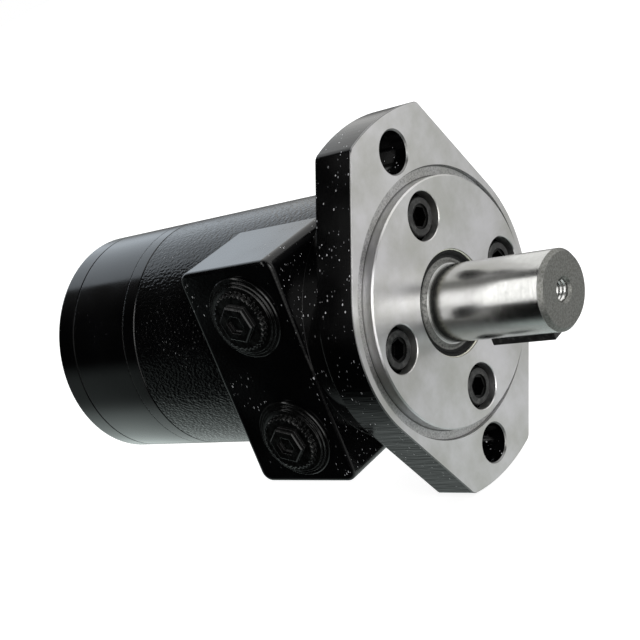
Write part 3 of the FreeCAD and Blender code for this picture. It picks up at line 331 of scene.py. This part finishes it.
def ground_steel(graph):
    """Ground round the axis, with a dull mottled end face and chamfer."""
    place = graph.place()
    rings = graph.noise(graph.stretched(place, (6.0, 0.25, 0.25)), 1.0, 4.0, 0.7)
    haze = graph.noise(place, 0.5, 4.0, 0.6)
    skin = graph.noise(place, 1.6, 4.0, 0.6)
    end = graph.step(graph.axes(place)["X"], SHAFT_END - 1.4, SHAFT_END - 1.1)
    bright = graph.colour_mix(haze, grey(0.50, (1.0, 1.0, 0.975)), grey(0.66, (1.0, 1.0, 0.985)))
    mottle = graph.step(skin, 0.35, 0.65)
    dull = graph.colour_mix(mottle, grey(0.13, (1.0, 1.01, 0.92)), grey(0.21, (1.0, 1.0, 0.96)))
    polish = graph.step(rings, 0.3, 0.7, 0.17, 0.26)
    height = graph.math("ADD", rings, graph.math("MULTIPLY", haze, 0.8))
    height = graph.math("ADD", height, graph.product(skin, end, 9.0))
    return metal(
        graph,
        graph.colour_mix(end, bright, dull),
        graph.largest(polish, graph.math("MULTIPLY", end, 0.42)),
        graph.bump(height, 0.010),
    )


def bright_steel(graph):
    place = graph.place()
    rings = graph.noise(graph.stretched(place, (1.0, 0.3, 0.3)), 2.5, 3.0)
    return metal(graph, grey(0.62), graph.step(rings, 0.3, 0.7, 0.15, 0.28), graph.bump(rings, 0.004))


def brass(graph):
    place = graph.place()
    patches = graph.noise(place, 0.4, 3.0)
    colour = graph.colour_mix(patches, (0.55, 0.38, 0.14, 1.0), (0.66, 0.50, 0.22, 1.0))
    return metal(graph, colour, graph.step(patches, 0.3, 0.7, 0.25, 0.4), graph.bump(patches, 0.01))


def oxide(graph):
    """Black oxide on steel, worn grey on the faces of the screw heads and darkest in their sockets."""
    place = graph.place()
    station = graph.axes(place)["X"]
    open_face = graph.largest(
        graph.step(station, FRONT_HEADS - 0.3, FRONT_HEADS - 0.1),
        graph.step(station, REAR_HEADS + 0.3, REAR_HEADS + 0.1),
    )
    patches = graph.noise(place, 0.5, 4.0, 0.6)
    grains = graph.noise(place, 3.5, 2.0)
    wear = graph.step(patches, 0.45, 0.75)
    worn = graph.colour_mix(wear, grey(0.012), grey(0.07, (1.0, 0.99, 0.97)))
    return graph.add(
        "BsdfPrincipled",
        Base_Color=graph.colour_mix(open_face, grey(0.001), worn),
        Metallic=graph.step(open_face, 0.0, 1.0, 0.0, 0.35),
        Specular_IOR_Level=graph.step(open_face, 0.0, 1.0, 0.12, 0.5),
        Roughness=graph.step(grains, 0.3, 0.7, 0.28, 0.42),
        Normal=graph.bump(grains, 0.012, graph.rounded_edges(0.2)),
    )


def rubber(graph):
    place = graph.place()
    grains = graph.noise(place, 4.0, 3.0)
    return graph.add(
        "BsdfPrincipled",
        Base_Color=graph.colour_mix(grains, grey(0.010), grey(0.022)),
        Roughness=graph.step(grains, 0.3, 0.7, 0.42, 0.6),
        Normal=graph.bump(grains, 0.02),
    )


def plated_steel(graph):
    """Thin pressed steel with a faint yellow plating."""
    cloud = graph.noise(graph.place(), 0.6, 3.0)
    colour = graph.colour_mix(cloud, grey(0.62, (1.0, 0.98, 0.82)), grey(0.74, (1.0, 0.98, 0.88)))
    return metal(graph, colour, graph.step(cloud, 0.3, 0.7, 0.22, 0.38), graph.bump(cloud, 0.01))


def seal_face(graph):
    """Black rubber outside, and a dull metal-grey wiping lip with a bright rim round the shaft."""
    place = graph.place()
    y, z = graph.axes(place)[1:]
    radius = graph.radius(y, z)
    grains = graph.noise(place, 1.4, 4.0, 0.65)
    lip = graph.product(
        graph.step(radius, SEAL_LIP, SEAL_LIP - 0.3), graph.step(grains, 0.3, 0.6, 0.35, 1.0)
    )
    rim = graph.step(radius, SEAL_RIM, SEAL_RIM - 0.15)
    colour = graph.colour_mix(lip, grey(0.004), grey(0.20, (1.0, 1.0, 0.96)))
    return graph.add(
        "BsdfPrincipled",
        Base_Color=graph.colour_mix(rim, colour, grey(0.6)),
        Metallic=graph.largest(rim, graph.math("MULTIPLY", lip, 0.7)),
        Roughness=0.42,
        Specular_IOR_Level=0.15,
        Normal=graph.bump(grains, 0.05),
    )


def moulded_plastic(graph):
    """Glossy black moulded plastic with a slight ripple."""
    ripple = graph.noise(graph.place(), 0.35, 3.0)
    return graph.add(
        "BsdfPrincipled",
        Base_Color=graph.colour_mix(ripple, grey(0.0008), grey(0.003)),
        Roughness=graph.step(ripple, 0.3, 0.7, 0.11, 0.20),
        Specular_IOR_Level=0.48,
        Normal=graph.bump(ripple, 0.05, graph.rounded_edges(0.2)),
    )


FINISHES = {
    "machined_iron": flange_finish,
    "painted_casting": cast_black,
    "painted_steel": smooth_black,
    "ground_steel": ground_steel,
    "bearing_steel": bright_steel,
    "brass_cage": brass,
    "black_screw": oxide,
    "black_key": oxide,
    "black_rubber": rubber,
    "seal_face": seal_face,
    "plated_steel": plated_steel,
    "plug_plastic": moulded_plastic,
}


def new_material(name, build):
    """Material whose surface is what the build function adds to its graph."""
    material = bpy.data.materials.new(name)
    material.use_nodes = True
    graph = Graph(material.node_tree)
    graph.add("OutputMaterial", build(graph))
    return material


materials = {name: new_material("look_" + name, finish) for name, finish in FINISHES.items()}
for part in frame["record"]["subparts"]:
    nodes[part["node"]].data.materials[0] = materials[part["material_slot"]]
nodes["dust_seal"].data.materials[0] = materials["seal_face"]


# Added pieces


def new_object(name, mesh):
    """Object made from a finished bmesh and put in the scene."""
    data = bpy.data.meshes.new(name)
    mesh.to_mesh(data)
    mesh.free()
    item = bpy.data.objects.new(name, data)
    bpy.context.scene.collection.objects.link(item)
    return item


def new_piece(name, mesh, look, body):
    """A finished mesh as a piece that rides on a CAD body, shaded smooth up to 35 degrees."""
    bmesh.ops.recalc_face_normals(mesh, faces=mesh.faces)
    for face in mesh.faces:
        face.smooth = True
    for edge in mesh.edges:
        edge.smooth = edge.calc_face_angle(0.0) < math.radians(35)
    piece = new_object(name, mesh)
    piece.data.materials.append(materials[look])
    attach(piece, body)


def across_from(axis):
    """Two directions square to an axis."""
    side = axis.orthogonal().normalized()
    return side, axis.cross(side)


def bridge(mesh, first, second):
    """Faces between two closed rows of vertices; a row may be a single point."""
    count = max(len(first), len(second))
    for index in range(count):
        after = (index + 1) % count
        corners = [first[index % len(first)], first[after % len(first)]]
        corners += [second[after % len(second)], second[index % len(second)]]
        mesh.faces.new(list(dict.fromkeys(corners)))


def turn_about(mesh, profile, start, axis, segments, closed=False, ribs=0):
    """Turn a profile of (along, radius) about an axis; a radius of zero closes the shape.

    A third number in a point is the height of the ribs there, round the axis.
    """
    side, other = across_from(axis)
    rows = []
    for along, radius, *rib in profile:
        count = segments if radius > 0 else 1
        row = []
        for step in range(count):
            turn = 2 * math.pi * step / count
            reach = radius + (rib[0] * math.cos(ribs * turn) if rib else 0.0)
            place = start + axis * along + (side * math.cos(turn) + other * math.sin(turn)) * reach
            row.append(mesh.verts.new(place * MM))
        rows.append(row)
    for before, after in zip(rows, rows[1:]):
        bridge(mesh, before, after)
    if closed:
        bridge(mesh, rows[-1], rows[0])


def add_thread(name, mount, start, height, length, pitch, slot_name, body):
    """Helical ridge on the wall of a threaded mount, fading out at both ends."""
    inward = -Vector(mounts[mount]["axis"])
    radius = mounts[mount]["dims"]["r_mm"]
    steps_per_turn = 72
    steps = int(length / pitch * steps_per_turn)
    fade_steps = 0.35 * steps_per_turn
    root = radius + 0.05
    half = 0.40 * pitch
    flat = 0.07 * pitch
    side, other = across_from(inward)
    mesh = bmesh.new()
    rows = []
    for step in range(steps + 1):
        angle = 2 * math.pi * step / steps_per_turn
        fade = min(1.0, step / fade_steps, (steps - step) / fade_steps)
        crest = radius - height * max(fade, 0.02)
        along = step / steps_per_turn * pitch
        outward = side * math.cos(angle) + other * math.sin(angle)
        section = ((root, -half), (crest, -flat), (crest, flat), (root, half))
        rows.append([
            mesh.verts.new((start + inward * (along + shift) + outward * reach) * MM)
            for reach, shift in section
        ])
    for before, after in zip(rows, rows[1:]):
        bridge(mesh, before, after)
    mesh.faces.new(rows[0])
    mesh.faces.new(rows[-1])
    new_piece(name, mesh, slot_name, body)


def add_plug(name, mouth):
    """Moulded shipping plug: a stepped and ribbed collar on the pad, a hexagon and a shank in the port."""
    outward = Vector((0, -1, 0))
    collar = [(-9.0, 0.0), (-9.0, 8.5), (-8.4, 9.1), (0.02, 9.1), (0.02, 14.3), (0.3, 14.6), (0.8, 14.6)]
    collar += [(1.1, 14.3), (1.1, 13.3), (1.7, 13.1), (1.7, 12.3), (2.4, 12.1), (2.4, 10.9)]
    collar += [(2.5, 10.5, 0.0), (2.6, 10.2, 0.35), (4.0, 10.0, 0.35), (4.3, 9.6, 0.3), (4.3, 0.0)]
    hexagon = [(4.1, 0.0), (4.1, 6.9), (5.5, 6.9), (5.9, 6.4), (5.9, 3.6), (4.7, 3.3), (4.7, 0.0)]
    mesh = bmesh.new()
    turn_about(mesh, collar, mouth, outward, segments=256, ribs=32)
    turn_about(mesh, hexagon, mouth, outward, segments=6)
    new_piece(name, mesh, "plug_plastic", "motor_body")


def add_seal_case():
    """Thin bright rim between the dust seal and its bore."""
    rim = [(1.95, 17.66), (2.28, 17.66), (2.36, 17.5), (2.28, 17.3), (1.97, 17.2)]
    mesh = bmesh.new()
    turn_about(mesh, rim, Vector((0, 0, 0)), Vector((1, 0, 0)), segments=160, closed=True)
    new_piece("dust_seal_case", mesh, "plated_steel", "motor_body")


for letter in "ab":
    port = "port_" + letter
    mouth = Vector(mounts[port]["pos_m"]) / MM
    mouth.y = PAD_FACE
    add_thread(
        port + "_thread", port, mouth + Vector((0, 2.4, 0)),
        height=0.85, length=12.2, pitch=1.814, slot_name="painted_casting", body="motor_body",
    )
    add_plug("port_plug_" + letter, mouth)
add_thread(
    "shaft_end_thread", "shaft_end_thread", Vector((SHAFT_END - 1.2, 0, 0)),
    height=0.4, length=14.0, pitch=1.25, slot_name="ground_steel", body="shaft",
)
add_seal_case()


# Stage, light and camera

FLOOR_GAP = 0.0005
FLOOR_HALF = 6.0
FILL_AWAY = 0.6
CAMERA_PLACE = Vector((270.379, -342.654, 149.507)) * MM
CAMERA_AXES = (
    Vector((0.60868, 0.67066, -0.42394)),
    Vector((-0.05217, 0.56699, 0.82207)),
    Vector((0.79170, -0.47826, 0.38010)),
)
LENS = 74.27
LENS_SHIFT = (0.4125, 0.3807)


def floor_surface(graph):
    """Pale and faintly glowing to the camera, and clear to every other ray and from below."""
    below = graph.add("NewGeometry").outputs["Backfacing"]
    seen = graph.math("SUBTRACT", graph.add("LightPath").outputs["Is Camera Ray"], below)
    surface = graph.add(
        "AddShader", graph.add("BsdfDiffuse", grey(0.5)), graph.add("Emission", grey(1.0), 0.86)
    )
    return graph.add("MixShader", seen, graph.add("BsdfTransparent"), surface)


def make_floor(level):
    mesh = bmesh.new()
    corners = ((-1, -1), (1, -1), (1, 1), (-1, 1))
    mesh.faces.new([mesh.verts.new((x * FLOOR_HALF, y * FLOOR_HALF, level)) for x, y in corners])
    floor = new_object("floor", mesh)
    floor.data.materials.append(new_material("floor", floor_surface))


def studio_lights(graph, fill):
    """Tint and level of each light, as zones of the direction a ray leaves in."""
    x, y, z = graph.axes(graph.add("TexCoord").outputs["Generated"])
    soft = grey(1.0, (1.0, 1.0, 0.985))
    sky = grey(1.0, (0.82, 0.91, 1.0))
    ground = grey(1.0, (0.87, 1.0, 0.97))

    def zone(level, *edges):
        """Light of one level inside soft limits, each given as an axis, its outside and its inside."""
        for axis, outside, inside in edges:
            level = graph.math("MULTIPLY", graph.step(axis, outside, inside), level)
        return level

    back_wall = graph.step(y, -0.45, 0.3, 0.0, 0.16)
    over_flange = zone(0.95, (y, 0.02, 0.07), (z, -0.05, 0.2), (x, -0.70, -0.62))
    over_barrel = zone(1.50, (x, -0.62, -0.70), (y, 0.02, 0.07), (z, -0.05, 0.3))
    key_strip = zone(
        3.0, (x, -0.60, -0.56), (x, -0.40, -0.50), (y, -0.26, -0.36), (y, -0.93, -0.80), (z, 0.0, 0.14)
    )
    far_left = zone(0.30, (x, -0.725, -0.76), (z, 0.10, -0.15))
    low_left = zone(0.42, (x, -0.68, -0.75), (y, -0.55, -0.1), (z, -0.25, -0.55))
    low_middle = zone(0.42, (y, -0.62, -0.3), (z, -0.35, -0.6))
    low_right = zone(0.36, (x, -0.1, 0.4), (z, 0.1, -0.1), (y, -0.3, 0.0))
    low_right_core = zone(0.30, (x, -0.1, 0.4), (z, 0.1, -0.1), (z, -0.5, -0.2), (y, -0.3, 0.0))
    right_wall = zone(0.5, (x, 0.1, 0.5), (y, -0.1, 0.1), (z, -0.1, 0.1))
    front_card = zone(1.8, (x, 0.25, 0.5), (y, -0.2, -0.45), (z, -0.36, -0.20))
    small_lamp = zone(3.6, (x, 0.55, 0.62), (y, -0.36, -0.40), (y, -0.76, -0.71), (z, 0.2, 0.27))
    all_round = graph.math("MULTIPLY", graph.step(z, -0.8, 0.9, 0.35, 1.0), fill)
    return [
        (soft, back_wall), (soft, over_flange), (sky, over_barrel), (soft, key_strip),
        (ground, far_left), (ground, low_left), (ground, low_middle), (soft, low_right),
        (soft, low_right_core), (soft, right_wall), (soft, front_card), (soft, small_lamp),
        (soft, all_round),
    ]


def make_world():
    """White to the camera, and a soft studio with a dark front to every other ray."""
    world = bpy.data.worlds.new("studio")
    world.use_nodes = True
    bpy.context.scene.world = world
    graph = Graph(world.node_tree)
    fill = graph.add("Value")
    fill.name = "fill"
    studio = None
    for tint, level in studio_lights(graph, fill):
        light = graph.add("Background", tint, level)
        studio = light if studio is None else graph.add("AddShader", studio, light)
    white = graph.add("Background", grey(1.0), 1.0)
    seen = graph.add("LightPath").outputs["Is Camera Ray"]
    graph.add("OutputWorld", graph.add("MixShader", seen, studio, white))


def depend_on_place(owner, path, camera, at_place, elsewhere):
    """Drive a value by whether the camera stands at its own place or has been moved."""
    driver = owner.driver_add(path).driver
    driver.type = "SCRIPTED"
    for name, index in (("cx", 0), ("cy", 1), ("cz", 2)):
        variable = driver.variables.new()
        variable.name = name
        variable.targets[0].id = camera
        variable.targets[0].data_path = f"location[{index}]"
    x, y, z = CAMERA_PLACE
    off = f"abs(cx - {x:.6f}) + abs(cy + {-y:.6f}) + abs(cz - {z:.6f})"
    driver.expression = f"{at_place} if {off} < 0.001 else {elsewhere}"


def make_camera():
    """Camera at its fitted place. Its lens shift, and no fill light, apply only there."""
    data = bpy.data.cameras.new("camera")
    data.lens = LENS
    data.sensor_width = 36.0
    data.clip_start = 0.01
    data.clip_end = 50.0
    camera = bpy.data.objects.new("camera", data)
    bpy.context.scene.collection.objects.link(camera)
    camera.rotation_mode = "QUATERNION"
    camera.rotation_quaternion = Matrix(CAMERA_AXES).transposed().to_quaternion()
    camera.location = CAMERA_PLACE
    depend_on_place(data, "shift_x", camera, LENS_SHIFT[0], 0)
    depend_on_place(data, "shift_y", camera, LENS_SHIFT[1], 0)
    tree = bpy.context.scene.world.node_tree
    depend_on_place(tree, 'nodes["fill"].outputs[0].default_value', camera, 0, FILL_AWAY)
    bpy.context.scene.camera = camera


make_floor(cad_box[0].z - FLOOR_GAP)
make_world()
make_camera()
bpy.context.scene.view_settings.view_transform = "Standard"
